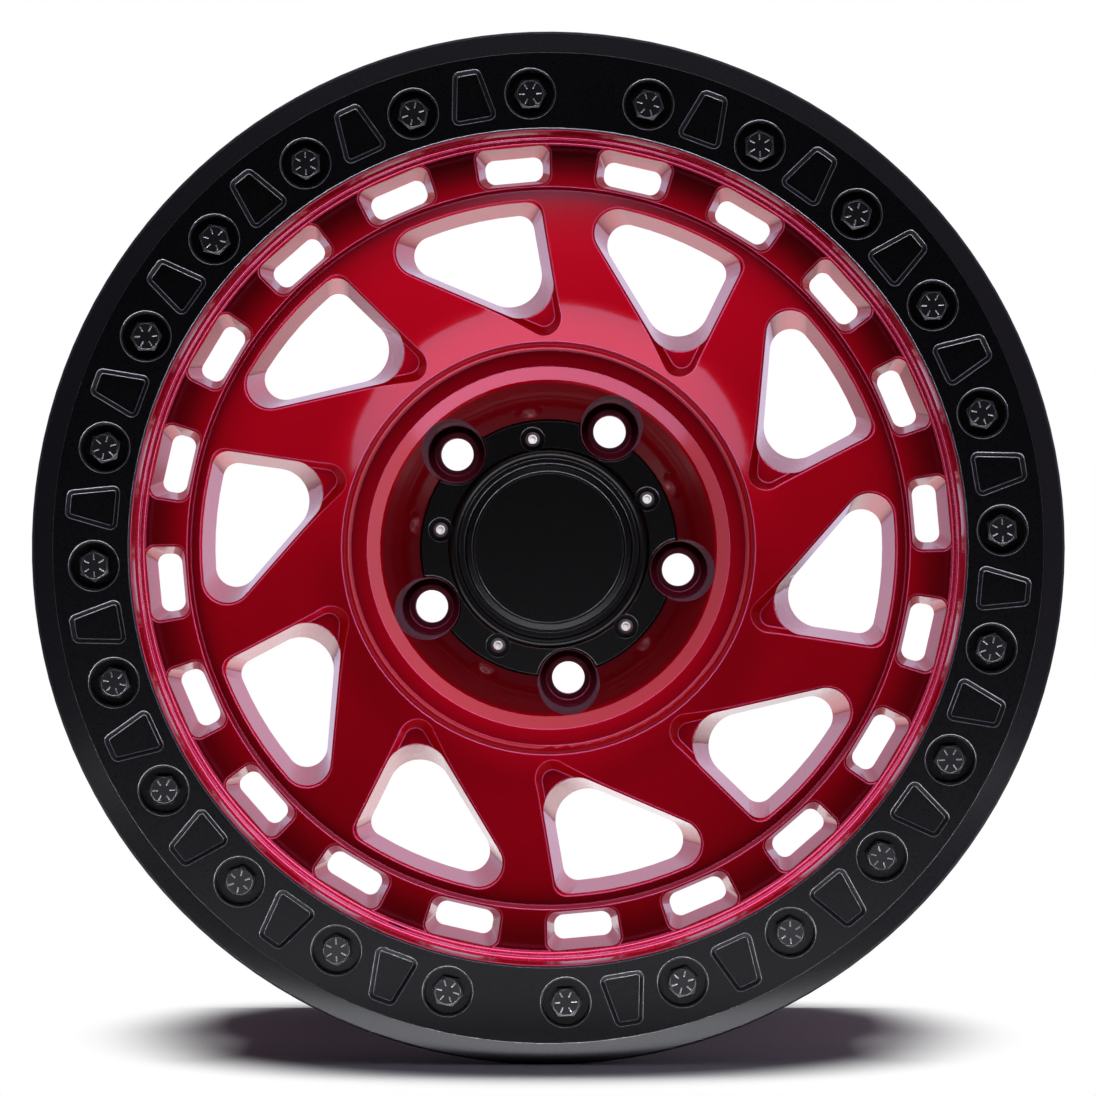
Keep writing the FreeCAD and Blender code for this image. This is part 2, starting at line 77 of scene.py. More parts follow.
class Part(Enum):
    """CAD nodes of the wheel."""

    CASTING = "wheel_casting"
    RING = "clamp_ring"
    BOLTS = "ring_bolts"
    CAP = "centre_cap"
    SCREWS = "cap_screws"


class Extra(Enum):
    """Pieces that are made here and not in the CAD model."""

    RIBS = "lip_ribs"
    MARKS = "bolt_head_marks"


class Slot(Enum):
    """Names for material slots, which this script does not use."""

    CANDY_RED = "candy_red"
    BLACK_STEEL = "black_steel"


class Lit(Enum):
    """What a lamp lights: matt surfaces such as the floor, or shine on paint and metal."""

    MATT = "matt"
    SHINE = "shine"


RED_PIECES = (Part.CASTING.value, Extra.RIBS.value)
BLACK_PIECES = (Part.RING.value, Part.BOLTS.value, Extra.MARKS.value, Part.CAP.value)


def rgba(colour: Colour) -> tuple[float, float, float, float]:
    """Colour with full alpha."""
    return (*colour, 1.0)


def lifted(colour: Colour, factor: float) -> Colour:
    """Colour made lighter by a factor."""
    return tuple(factor * part for part in colour)


def as_object(shape: bmesh.types.BMesh, name: str) -> bpy.types.Object:
    """Turn a finished shape into an object of the scene.

    Args:
        shape: the shape, which is freed.
        name: name of the object and its mesh.

    Returns:
        The new object.
    """
    mesh = bpy.data.meshes.new(name)
    shape.to_mesh(mesh)
    shape.free()
    made = bpy.data.objects.new(name, mesh)
    bpy.context.scene.collection.objects.link(made)
    return made


class Graph:
    """A node tree with short ways to add nodes and join them."""

    def __init__(self, tree: bpy.types.NodeTree) -> None:
        """Keep the tree and clear it."""
        self.tree = tree
        self.tree.nodes.clear()

    def add(self, kind: str, **settings: object) -> bpy.types.Node:
        """Add a node.

        Args:
            kind: Blender's name of the node's class.
            **settings: properties of the node to set.

        Returns:
            The new node.
        """
        node = self.tree.nodes.new(kind)
        for name, value in settings.items():
            setattr(node, name, value)
        return node

    def feed(self, target: bpy.types.NodeSocket, source: Source) -> None:
        """Set an input to a plain value, or join another node's output to it.

        Args:
            target: input socket.
            source: output socket, number or colour.
        """
        if isinstance(source, bpy.types.NodeSocket):
            self.tree.links.new(source, target)
        elif isinstance(source, tuple) and len(target.default_value) == len(rgba(source)):
            target.default_value = rgba(source)
        else:
            target.default_value = source

    def calc(self, operation: str, *values: Source) -> bpy.types.NodeSocket:
        """Add one step of arithmetic.

        Args:
            operation: name of the Math node's operation.
            *values: its inputs in order.

        Returns:
            The result's socket.
        """
        node = self.add("ShaderNodeMath", operation=operation)
        for socket, value in zip(node.inputs, values):
            self.feed(socket, value)
        return node.outputs[0]

    def long_side(self, one: Source, other: Source) -> bpy.types.NodeSocket:
        """Length of the long side of a right triangle with two given sides."""
        return self.calc("SQRT", self.calc("MULTIPLY_ADD", one, one, self.calc("MULTIPLY", other, other)))

    def spread(self, share: Source, middle: float, width: float) -> bpy.types.NodeSocket:
        """Turn a share from 0 to 1 into a number that strays from a middle by half a width at most."""
        return self.calc("MULTIPLY_ADD", share, width, middle - width / 2)

    def ramp(self, value: Source, low: Source, high: Source,
             start: float = 0.0, end: float = 1.0) -> bpy.types.NodeSocket:
        """Map a value smoothly from one range to another.

        Args:
            value: input.
            low: input value that gives start.
            high: input value that gives end.
            start: result at and below low.
            end: result at and above high.

        Returns:
            The result's socket.
        """
        node = self.add("ShaderNodeMapRange", interpolation_type="SMOOTHSTEP")
        for name, source in (("Value", value), ("From Min", low), ("From Max", high),
                             ("To Min", start), ("To Max", end)):
            self.feed(node.inputs[name], source)
        return node.outputs["Result"]

    def mix(self, share: Source, first: Source, second: Source, kind: str = "RGBA") -> bpy.types.NodeSocket:
        """Blend two colours, or two numbers.

        Args:
            share: share of the second value.
            first: first value.
            second: second value.
            kind: Blender's name of the type of data.

        Returns:
            The blended value's socket.
        """
        node = self.add("ShaderNodeMix", data_type=kind)
        one, two, result = MIX_SOCKETS[kind]
        for index, source in ((0, share), (one, first), (two, second)):
            self.feed(node.inputs[index], source)
        return node.outputs[result]

    def between(self, share: Source, first: Source, second: Source) -> bpy.types.NodeSocket:
        """Blend two numbers."""
        return self.mix(share, first, second, "FLOAT")

    def place(self) -> bpy.types.NodeSocket:
        """Position on the piece, which is the position on the wheel."""
        return self.add("ShaderNodeTexCoord").outputs["Object"]

    def bounced(self) -> bpy.types.NodeSocket:
        """1 for light that a matt surface has already thrown back, and 0 for other light."""
        rays = self.add("ShaderNodeLightPath")
        return self.calc("GREATER_THAN", rays.outputs["Diffuse Depth"], HALF_BOUNCE)


class SharedEffect:
    """A shader node group that several finishes use, built once."""

    name = ""
    inputs: tuple[tuple[str, float], ...] = ()
    outputs: tuple[tuple[str, str], ...] = ()

    @classmethod
    def tree(cls) -> bpy.types.NodeTree:
        """Return the group, building it on first use.

        Returns:
            The node group.
        """
        found = bpy.data.node_groups.get(cls.name)
        if found is not None:
            return found
        made = bpy.data.node_groups.new(cls.name, "ShaderNodeTree")
        for label, value in cls.inputs:
            socket = made.interface.new_socket(name=label, in_out="INPUT", socket_type="NodeSocketFloat")
            socket.default_value = value
        for label, kind in cls.outputs:
            made.interface.new_socket(name=label, in_out="OUTPUT", socket_type=kind)
        graph = Graph(made)
        cls.build(graph, graph.add("NodeGroupInput"), graph.add("NodeGroupOutput"))
        return made

    @classmethod
    def build(cls, graph: Graph, given: bpy.types.Node, result: bpy.types.Node) -> None:
        """Fill the group with nodes; each effect has its own."""
        raise NotImplementedError

    @classmethod
    def use(cls, graph: Graph, **values: Source) -> bpy.types.Node:
        """Place the group in a material.

        Args:
            graph: the material's graph.
            **values: inputs by name, with underscores for spaces.

        Returns:
            The group node.
        """
        node = graph.add("ShaderNodeGroup", node_tree=cls.tree())
        for label, value in values.items():
            graph.feed(node.inputs[label.replace("_", " ")], value)
        return node


class SoftEdges(SharedEffect):
    """Rounded normals at the edges and a mask of the outer edges, where a highlight is painted."""

    name = "soft_edges"
    inputs = (("Radius", 0.5 * MM), ("Start", 0.02), ("Full", 0.22))
    outputs = (("Normal", "NodeSocketVector"), ("Edge", "NodeSocketFloat"))
    samples = 6
    nook_reach = 2.0 * MM
    nook_closed = 0.55
    nook_open = 0.9

    @classmethod
    def build(cls, graph: Graph, given: bpy.types.Node, result: bpy.types.Node) -> None:
        """Compare the rounded normal with the true one, and leave out the inner corners.

        Args:
            graph: the group's graph.
            given: group input node; Start and Full are how far the normal turns.
            result: group output node.
        """
        bevel = graph.add("ShaderNodeBevel", samples=cls.samples)
        graph.feed(bevel.inputs["Radius"], given.outputs["Radius"])
        geometry = graph.add("ShaderNodeNewGeometry")
        dot = graph.add("ShaderNodeVectorMath", operation="DOT_PRODUCT")
        graph.feed(dot.inputs[0], bevel.outputs["Normal"])
        graph.feed(dot.inputs[1], geometry.outputs["Normal"])
        turn = graph.calc("SUBTRACT", 1.0, dot.outputs["Value"])
        edge = graph.ramp(turn, given.outputs["Start"], given.outputs["Full"])
        open_air = graph.add("ShaderNodeAmbientOcclusion", samples=cls.samples)
        graph.feed(open_air.inputs["Distance"], cls.nook_reach)
        outer = graph.ramp(open_air.outputs["AO"], cls.nook_closed, cls.nook_open)
        graph.feed(result.inputs["Normal"], bevel.outputs["Normal"])
        graph.feed(result.inputs["Edge"], graph.calc("MULTIPLY", edge, outer))


class CornerShade(SharedEffect):
    """Mask of the inner corners on level surfaces, where shade is painted darker."""

    name = "corner_shade"
    inputs = (("Distance", 24.0 * MM), ("Open", 0.97), ("Closed", 0.72))
    outputs = (("Corner", "NodeSocketFloat"),)
    samples = 6
    level_start = 0.6
    level_full = 0.85

    @classmethod
    def build(cls, graph: Graph, given: bpy.types.Node, result: bpy.types.Node) -> None:
        """Measure how much of the near surroundings is closed off, and leave out walls along the axis.

        Args:
            graph: the group's graph.
            given: group input node.
            result: group output node.
        """
        open_air = graph.add("ShaderNodeAmbientOcclusion", samples=cls.samples)
        graph.feed(open_air.inputs["Distance"], given.outputs["Distance"])
        closed = graph.ramp(open_air.outputs["AO"], given.outputs["Closed"], given.outputs["Open"], 1.0, 0.0)
        split = graph.add("ShaderNodeSeparateXYZ")
        graph.feed(split.inputs[0], graph.add("ShaderNodeNewGeometry").outputs["Normal"])
        facing = graph.calc("ABSOLUTE", split.outputs["Y"])
        level = graph.ramp(facing, cls.level_start, cls.level_full)
        graph.feed(result.inputs["Corner"], graph.calc("MULTIPLY", closed, level))


class CoatGrain(SharedEffect):
    """Fine grain of a sprayed or powdered coat, with slow changes over the surface."""

    name = "coat_grain"
    inputs = (("Scale", 900.0), ("Slow Scale", 18.0))
    outputs = (("Height", "NodeSocketFloat"), ("Fine", "NodeSocketFloat"), ("Slow", "NodeSocketFloat"))
    fine_detail = 3.0
    fine_range = (0.3, 0.7)
    slow_detail = 2.0
    slow_range = (0.25, 0.75)

    @classmethod
    def build(cls, graph: Graph, given: bpy.types.Node, result: bpy.types.Node) -> None:
        """Two noises, one fine and one slow.

        Args:
            graph: the group's graph.
            given: group input node.
            result: group output node.
        """
        place = graph.place()
        noises = []
        for label, detail in (("Scale", cls.fine_detail), ("Slow Scale", cls.slow_detail)):
            noise = graph.add("ShaderNodeTexNoise")
            graph.feed(noise.inputs["Vector"], place)
            graph.feed(noise.inputs["Scale"], given.outputs[label])
            graph.feed(noise.inputs["Detail"], detail)
            noises.append(noise.outputs["Fac"])
        fine, slow = noises
        graph.feed(result.inputs["Height"], fine)
        graph.feed(result.inputs["Fine"], graph.ramp(fine, *cls.fine_range))
        graph.feed(result.inputs["Slow"], graph.ramp(slow, *cls.slow_range))


class MetalFlake(SharedEffect):
    """Flakes under the red coat, each with its own height and shine."""

    name = "metal_flake"
    inputs = (("Scale", 3200.0),)
    outputs = (("Height", "NodeSocketFloat"), ("Shine", "NodeSocketFloat"))

    @classmethod
    def build(cls, graph: Graph, given: bpy.types.Node, result: bpy.types.Node) -> None:
        """Random values per cell.

        Args:
            graph: the group's graph.
            given: group input node.
            result: group output node.
        """
        cells = graph.add("ShaderNodeTexVoronoi")
        graph.feed(cells.inputs["Vector"], graph.place())
        graph.feed(cells.inputs["Scale"], given.outputs["Scale"])
        channels = graph.add("ShaderNodeSeparateColor")
        graph.feed(channels.inputs[0], cells.outputs["Color"])
        graph.feed(result.inputs["Height"], channels.outputs[0])
        graph.feed(result.inputs["Shine"], channels.outputs[1])


class RoundPlaces(SharedEffect):
    """Mask of round places set evenly round the axis, which may taper with depth."""

    name = "round_places"
    inputs = (("Count", 5.0), ("Start", 0.0), ("Circle", 0.06), ("Radius", 0.01),
              ("Taper", 0.0), ("Rear", 0.0))
    outputs = (("Mask", "NodeSocketFloat"),)
    soft_rim = 0.15 * MM

    @classmethod
    def build(cls, graph: Graph, given: bpy.types.Node, result: bpy.types.Node) -> None:
        """Fold the angle into one place and measure the distance from its middle.

        Args:
            graph: the group's graph.
            given: group input node; Start is in degrees and Rear is the last depth along Y.
            result: group output node.
        """
        split = graph.add("ShaderNodeSeparateXYZ")
        graph.feed(split.inputs[0], graph.place())
        x, y, z = split.outputs
        from_axis = graph.long_side(x, z)
        step = graph.calc("DIVIDE", FULL_TURN, given.outputs["Count"])
        start = graph.calc("RADIANS", given.outputs["Start"])
        angle = graph.calc("SUBTRACT", graph.calc("ARCTAN2", z, x), start)
        turns = graph.calc("ROUND", graph.calc("DIVIDE", angle, step))
        folded = graph.calc("SUBTRACT", angle, graph.calc("MULTIPLY", turns, step))
        along = graph.calc("MULTIPLY", from_axis, graph.calc("COSINE", folded))
        along = graph.calc("SUBTRACT", along, given.outputs["Circle"])
        across = graph.calc("MULTIPLY", from_axis, graph.calc("SINE", folded))
        away = graph.long_side(along, across)
        depth = graph.calc("SUBTRACT", given.outputs["Rear"], y)
        reach = graph.calc("MULTIPLY_ADD", depth, given.outputs["Taper"], given.outputs["Radius"])
        inside = graph.ramp(graph.calc("SUBTRACT", reach, away), 0.0, cls.soft_rim)
        in_depth = graph.calc("GREATER_THAN", depth, 0.0)
        graph.feed(result.inputs["Mask"], graph.calc("MULTIPLY", inside, in_depth))


class Surface:
    """A material with one Principled shader and its graph."""

    def __init__(self, name: str) -> None:
        """Make the material and its shader."""
        self.material = bpy.data.materials.new(name)
        self.material.use_nodes = True
        self.graph = Graph(self.material.node_tree)
        self.shader = self.graph.add("ShaderNodeBsdfPrincipled")
        output = self.graph.add("ShaderNodeOutputMaterial")
        self.graph.feed(output.inputs["Surface"], self.shader.outputs["BSDF"])

    def set(self, **values: Source) -> None:
        """Set or join shader inputs by name, with underscores for spaces."""
        for label, value in values.items():
            self.graph.feed(self.shader.inputs[label.replace("_", " ")], value)

    def bump(self, height: Source, strength: float, distance: float, normal: Source) -> None:
        """Raise the surface by a height on top of another normal.

        Args:
            height: height socket.
            strength: strength of the effect.
            distance: height in metres of a full step.
            normal: normal to start from.
        """
        node = self.graph.add("ShaderNodeBump")
        for label, value in (("Height", height), ("Strength", strength),
                             ("Distance", distance), ("Normal", normal)):
            self.graph.feed(node.inputs[label], value)
        self.graph.feed(self.shader.inputs["Normal"], node.outputs["Normal"])


@dataclass(frozen=True)
class LugPockets:
    """Places of the five lug pockets in the casting, measured from the rear of their holes."""

    count: int = 5
    start: float = 62.47
    circle: float = 63.5 * MM
    floor_radius: float = 13.5 * MM
    mouth_radius: float = 15.4 * MM
    length: float = 60.1 * MM
    skin: float = 0.12 * MM
    rear: float = -0.5 * MM
    floor_from_rear: float = 16.0 * MM

    def mask(self, graph: Graph) -> bpy.types.NodeSocket:
        """Mask of the pockets' walls, floors and holes.

        Args:
            graph: the material's graph.

        Returns:
            The mask's socket.
        """
        taper = (self.mouth_radius - self.floor_radius) / self.length
        places = RoundPlaces.use(
            graph, Count=float(self.count), Start=self.start, Circle=self.circle,
            Radius=self.floor_radius + self.skin - taper * self.floor_from_rear, Taper=taper, Rear=self.rear)
        return places.outputs["Mask"]


@dataclass(frozen=True)
class CandyRed:
    """Clear-coated red over metal flake, with a painted pale pink highlight on the outer edges and painted
    shade in the inner corners of level surfaces, and darker in the lug pockets.
    """

    name: str = "candy_red_coat"
    red: Colour = (0.57, 0.001, 0.011)
    deep_red: Colour = (0.51, 0.0008, 0.009)
    # Painted shade for the inner corners of level surfaces.
    shade_red: Colour = (0.1, 0.0002, 0.003)
    # Painted pale pink highlight for the outer edges.
    highlight_red: Colour = (1.0, 0.2, 0.36)
    pocket_red: Colour = (0.15, 0.013, 0.02)
    rim_tint: Colour = (1.0, 0.72, 0.82)
    slow_scale: float = 9.0
    shade_share: float = 0.85
    edge_share: float = 1.0
    edge_radius: float = 0.9 * MM
    edge_start: float = 0.005
    edge_full: float = 0.06
    roughness: float = 0.48
    rough_spread: float = 0.08
    pocket_roughness: float = 0.55
    specular: float = 0.1
    coat_roughness: float = 0.08
    coat_ior: float = 1.5
    flake_strength: float = 0.12
    flake_height: float = 0.02 * MM

    def material(self, pockets: LugPockets) -> bpy.types.Material:
        """Make the material.

        Args:
            pockets: where the dark pockets are.

        Returns:
            The finished material.
        """
        surface = Surface(self.name)
        graph = surface.graph
        edges = SoftEdges.use(graph, Radius=self.edge_radius, Start=self.edge_start, Full=self.edge_full)
        corners = CornerShade.use(graph)
        grain = CoatGrain.use(graph, Slow_Scale=self.slow_scale)
        flake = MetalFlake.use(graph)
        red = graph.mix(grain.outputs["Slow"], self.red, self.deep_red)
        # Painted shade: darker red where the surroundings close in on level surfaces.
        shaded = graph.calc("MULTIPLY", corners.outputs["Corner"], self.shade_share)
        red = graph.mix(shaded, red, self.shade_red)
        # Painted highlight: pale pink along the outer edges.
        pink_highlight = graph.calc("MULTIPLY", edges.outputs["Edge"], self.edge_share)
        red = graph.mix(pink_highlight, red, self.highlight_red)
        pocket = graph.calc("MULTIPLY", pockets.mask(graph), graph.calc("SUBTRACT", 1.0, pink_highlight))
        rough = graph.spread(flake.outputs["Shine"], self.roughness, self.rough_spread)
        surface.set(
            Base_Color=graph.mix(pocket, red, self.pocket_red),
            Metallic=1.0,
            Roughness=graph.between(pocket, rough, self.pocket_roughness),
            Specular_IOR_Level=self.specular,
            Specular_Tint=self.rim_tint,
            Coat_Weight=graph.calc("SUBTRACT", 1.0, pocket),
            Coat_Roughness=self.coat_roughness,
            Coat_IOR=self.coat_ior)
        surface.bump(flake.outputs["Height"], self.flake_strength, self.flake_height, edges.outputs["Normal"])
        return surface.material


@dataclass(frozen=True)
class PowderBlack:
    """Satin black powder coat with a fine grain, and a painted grey highlight along the edges."""

    name: str
    black: Colour
    highlight_grey: Colour
    roughness: float
    specular: float
    slow_lift: float = 1.25
    slow_scale: float = 14.0
    edge_share: float = 0.85
    edge_radius: float = 0.6 * MM
    edge_start: float = 0.008
    edge_full: float = 0.09
    rough_spread: float = 0.08
    grain_scale: float = 1500.0
    grain_strength: float = 0.35
    grain_height: float = 0.03 * MM

    def material(self) -> bpy.types.Material:
        """Make the material.

        Returns:
            The finished material.
        """
        surface = Surface(self.name)
        graph = surface.graph
        edges = SoftEdges.use(graph, Radius=self.edge_radius, Start=self.edge_start, Full=self.edge_full)
        grain = CoatGrain.use(graph, Scale=self.grain_scale, Slow_Scale=self.slow_scale)
        black = graph.mix(grain.outputs["Slow"], self.black, lifted(self.black, self.slow_lift))
        # Painted highlight: grey metal along the edges.
        grey_highlight = graph.calc("MULTIPLY", edges.outputs["Edge"], self.edge_share)
        surface.set(
            Base_Color=graph.mix(grey_highlight, black, self.highlight_grey),
            Metallic=grey_highlight,
            Roughness=graph.spread(grain.outputs["Fine"], self.roughness, self.rough_spread),
            Specular_IOR_Level=self.specular)
        surface.bump(grain.outputs["Height"], self.grain_strength, self.grain_height, edges.outputs["Normal"])
        return surface.material


@dataclass(frozen=True)
class OxideSteel:
    """Black oxide on steel, with a painted highlight of bright steel along the edges."""

    name: str = "oxide_steel"
    oxide: Colour = (0.012, 0.012, 0.013)
    # Bright steel for the painted highlight along the edges.
    steel: Colour = (0.8, 0.8, 0.82)
    slow_lift: float = 1.6
    slow_scale: float = 60.0
    edge_share: float = 0.95
    edge_radius: float = 0.35 * MM
    edge_start: float = 0.008
    edge_full: float = 0.08
    roughness: float = 0.34
    rough_spread: float = 0.12
    specular: float = 0.2
    grain_scale: float = 1100.0
    grain_strength: float = 0.3
    grain_height: float = 0.02 * MM

    def material(self) -> bpy.types.Material:
        """Make the material.

        Returns:
            The finished material.
        """
        surface = Surface(self.name)
        graph = surface.graph
        edges = SoftEdges.use(graph, Radius=self.edge_radius, Start=self.edge_start, Full=self.edge_full)
        grain = CoatGrain.use(graph, Scale=self.grain_scale, Slow_Scale=self.slow_scale)
        oxide = graph.mix(grain.outputs["Slow"], self.oxide, lifted(self.oxide, self.slow_lift))
        # Painted highlight: bright steel along the edges.
        steel_highlight = graph.calc("MULTIPLY", edges.outputs["Edge"], self.edge_share)
        surface.set(
            Base_Color=graph.mix(steel_highlight, oxide, self.steel),
            Metallic=steel_highlight,
            Roughness=graph.spread(grain.outputs["Fine"], self.roughness, self.rough_spread),
            Specular_IOR_Level=self.specular)
        surface.bump(grain.outputs["Height"], self.grain_strength, self.grain_height, edges.outputs["Normal"])
        return surface.material


@dataclass(frozen=True)
class BrightPlate:
    """Bright plated steel with a faint grain."""

    name: str = "bright_plate"
    bright: Colour = (0.9, 0.9, 0.91)
    shade: Colour = (0.76, 0.76, 0.78)
    slow_scale: float = 240.0
    edge_radius: float = 0.2 * MM
    roughness: float = 0.5
    rough_spread: float = 0.1
    grain_scale: float = 2200.0
    grain_strength: float = 0.15
    grain_height: float = 0.01 * MM

    def material(self) -> bpy.types.Material:
        """Make the material.

        Returns:
            The finished material.
        """
        surface = Surface(self.name)
        graph = surface.graph
        edges = SoftEdges.use(graph, Radius=self.edge_radius)
        grain = CoatGrain.use(graph, Scale=self.grain_scale, Slow_Scale=self.slow_scale)
        surface.set(
            Base_Color=graph.mix(grain.outputs["Slow"], self.bright, self.shade),
            Metallic=1.0,
            Roughness=graph.spread(grain.outputs["Fine"], self.roughness, self.rough_spread))
        surface.bump(grain.outputs["Height"], self.grain_strength, self.grain_height, edges.outputs["Normal"])
        return surface.material


@dataclass
class CadPiece:
    """A CAD node that keeps its shape and gets a finish."""

    part: Part
    material: bpy.types.Material

    def dress(self) -> None:
        """Give the node its finish."""
        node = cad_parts[self.part.value]
        node.data.materials.clear()
        node.data.materials.append(self.material)
        LOG.info("dressed %s with %s", node.name, self.material.name)


@dataclass
class WheelCasting:
    """The red casting, with two fine pale ribs on its lip wall as painted highlight lines."""

    finish: CandyRed = CandyRed()
    # Pale pink for the ribs: painted highlight lines on the lip wall.
    rib_highlight_finish: CandyRed = CandyRed(
        name="candy_red_rib_highlight", red=(0.95, 0.12, 0.25), deep_red=(0.9, 0.1, 0.22), shade_share=0.0,
        edge_share=0.0, edge_radius=0.1 * MM, roughness=0.27)
    pockets: LugPockets = LugPockets()
    rib_places: tuple[tuple[float, float], ...] = ((188.15 * MM, 36.0 * MM), (189.0 * MM, 18.0 * MM))
    rib_radius: float = 0.8 * MM
    rib_sides: int = 12
    rib_steps: int = 240

    def build(self) -> None:
        """Dress the casting and add the ribs."""
        CadPiece(Part.CASTING, self.finish.material(self.pockets)).dress()
        ribs = self.lip_ribs()
        ribs.data.materials.append(self.rib_highlight_finish.material(self.pockets))
        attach(ribs, BODY)
        LOG.info("made %s", ribs.name)

    def lip_ribs(self) -> bpy.types.Object:
        """Two thin round ribs along the lip wall, each at its own radius and depth, which carry painted
        highlight lines.

        Returns:
            One object with both ribs.
        """
        shape = bmesh.new()
        for circle, depth in self.rib_places:
            section = bmesh.ops.create_circle(shape, segments=self.rib_sides, radius=self.rib_radius)
            bmesh.ops.translate(shape, vec=Vector((circle, FRONT + depth, 0.0)), verts=section["verts"])
        bmesh.ops.spin(
            shape, geom=shape.verts[:] + shape.edges[:], cent=Vector(), axis=AXIS, angle=FULL_TURN,
            steps=self.rib_steps, use_merge=True)
        bmesh.ops.recalc_face_normals(shape, faces=shape.faces)
        for face in shape.faces:
            face.smooth = True
        return as_object(shape, Extra.RIBS.value)


@dataclass
class ClampRing:
    """The black clamp ring."""

    # The grey along the ring's edges is a painted highlight.
    finish: PowderBlack = PowderBlack(
        name="satin_powder", black=(0.005, 0.005, 0.0058), highlight_grey=(0.6, 0.6, 0.64),
        roughness=0.3, specular=0.1)

    def build(self) -> None:
        """Dress the ring."""
        CadPiece(Part.RING, self.finish.material()).dress()


@dataclass
class RingBolts:
    """The ring's bolts and the raised marks on their heads."""

    finish: OxideSteel = OxideSteel()
    count: int = 24
    start: float = 2.24
    circle: float = 207.2 * MM
    head_depth: float = 0.8 * MM
    mark_count: int = 6
    mark_circle: float = 3.9 * MM
    mark_length: float = 2.4 * MM
    mark_width: float = 0.55 * MM
    mark_height: float = 0.15 * MM
    mark_sunk: float = 0.1 * MM
    mark_bevel: float = 0.04 * MM

    def build(self) -> None:
        """Dress the bolts and add the marks."""
        steel = self.finish.material()
        CadPiece(Part.BOLTS, steel).dress()
        marks = self.head_marks()
        marks.data.materials.append(steel)
        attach(marks, BODY)
        LOG.info("made %s", marks.name)

    def head_marks(self) -> bpy.types.Object:
        """Short raised bars on every bolt head, pointing to its corners.

        Returns:
            One object with the marks of all bolts.
        """
        shape = bmesh.new()
        bmesh.ops.create_cube(shape, size=1.0)
        shaded = self.mark_height + self.mark_sunk
        size = Vector((self.mark_length, shaded, self.mark_width))
        bmesh.ops.scale(shape, vec=size, verts=shape.verts)
        bmesh.ops.bevel(
            shape, geom=shape.edges[:], offset=self.mark_bevel, affect="EDGES", segments=1, profile=0.5,
            material=-1)
        middle = FRONT + self.head_depth - self.mark_height + shaded / 2
        bmesh.ops.translate(shape, vec=Vector((self.mark_circle, middle, 0.0)), verts=shape.verts)
        self.repeat(shape, self.mark_count)
        bmesh.ops.translate(shape, vec=Vector((0.0, 0.0, self.circle)), verts=shape.verts)
        turn = Matrix.Rotation(math.radians(UPRIGHT - self.start), 3, AXIS)
        bmesh.ops.rotate(shape, cent=Vector(), matrix=turn, verts=shape.verts)
        self.repeat(shape, self.count)
        bmesh.ops.recalc_face_normals(shape, faces=shape.faces)
        return as_object(shape, Extra.MARKS.value)

    @staticmethod
    def repeat(shape: bmesh.types.BMesh, count: int) -> None:
        """Copy a shape evenly round the Y axis.

        Args:
            shape: mesh to copy within.
            count: number of copies in all.
        """
        bmesh.ops.spin(
            shape, geom=shape.verts[:] + shape.edges[:] + shape.faces[:], cent=Vector(), axis=AXIS,
            angle=FULL_TURN * (count - 1) / count, steps=count - 1, use_duplicate=True)


@dataclass
class CentreCap:
    """The black cap over the hub bore."""

    # The grey along the cap's edges is a painted highlight.
    finish: PowderBlack = PowderBlack(
        name="cap_satin", black=(0.003, 0.003, 0.0035), highlight_grey=(0.25, 0.25, 0.27),
        roughness=0.28, specular=0.2, grain_height=0.0005 * MM, rough_spread=0.015)

    def build(self) -> None:
        """Dress the cap."""
        CadPiece(Part.CAP, self.finish.material()).dress()


@dataclass
class CapScrews:
    """The bright screws of the cap."""

    finish: BrightPlate = BrightPlate()

    def build(self) -> None:
        """Dress the screws."""
        CadPiece(Part.SCREWS, self.finish.material()).dress()


@dataclass(frozen=True)
class SoftBox:
    """A rectangular studio lamp aimed at a point, which may light some pieces only."""

    name: str
    place: tuple[float, float, float]
    aim: tuple[float, float, float]
    width: float
    height: float
    power: float
    lights: Lit = Lit.SHINE
    colour: Colour = WHITE
    only: tuple[str, ...] = ()

    def build(self) -> None:
        """Make the lamp."""
        data = bpy.data.lights.new(self.name, "AREA")
        data.shape = "RECTANGLE"
        data.size = self.width
        data.size_y = self.height
        data.energy = self.power
        data.color = self.colour
        lamp = bpy.data.objects.new(self.name, data)
        lamp.location = self.place
        way = Vector(self.aim) - Vector(self.place)
        lamp.rotation_euler = way.to_track_quat("-Z", "Y").to_euler()
        lamp.visible_camera = False
        lamp.visible_glossy = self.lights is Lit.SHINE
        lamp.visible_diffuse = self.lights is Lit.MATT
        bpy.context.scene.collection.objects.link(lamp)
        if self.lights is Lit.SHINE:
            self.keep_off_floor(data)
        if self.only:
            lit = bpy.data.collections.new(self.name + "_lit")
            for name in self.only:
                lit.objects.link(bpy.data.objects[name])
            lamp.light_linking.receiver_collection = lit

    @staticmethod
    def keep_off_floor(data: bpy.types.Light) -> None:
        """Stop the shine that this lamp makes from tinting the matt floor.

        Args:
            data: the lamp's data.
        """
        data.use_nodes = True
        graph = Graph(data.node_tree)
        glow = graph.add("ShaderNodeEmission")
        graph.feed(glow.inputs["Strength"], graph.calc("SUBTRACT", 1.0, graph.bounced()))
        output = graph.add("ShaderNodeOutputLight")
        graph.feed(output.inputs["Surface"], glow.outputs["Emission"])


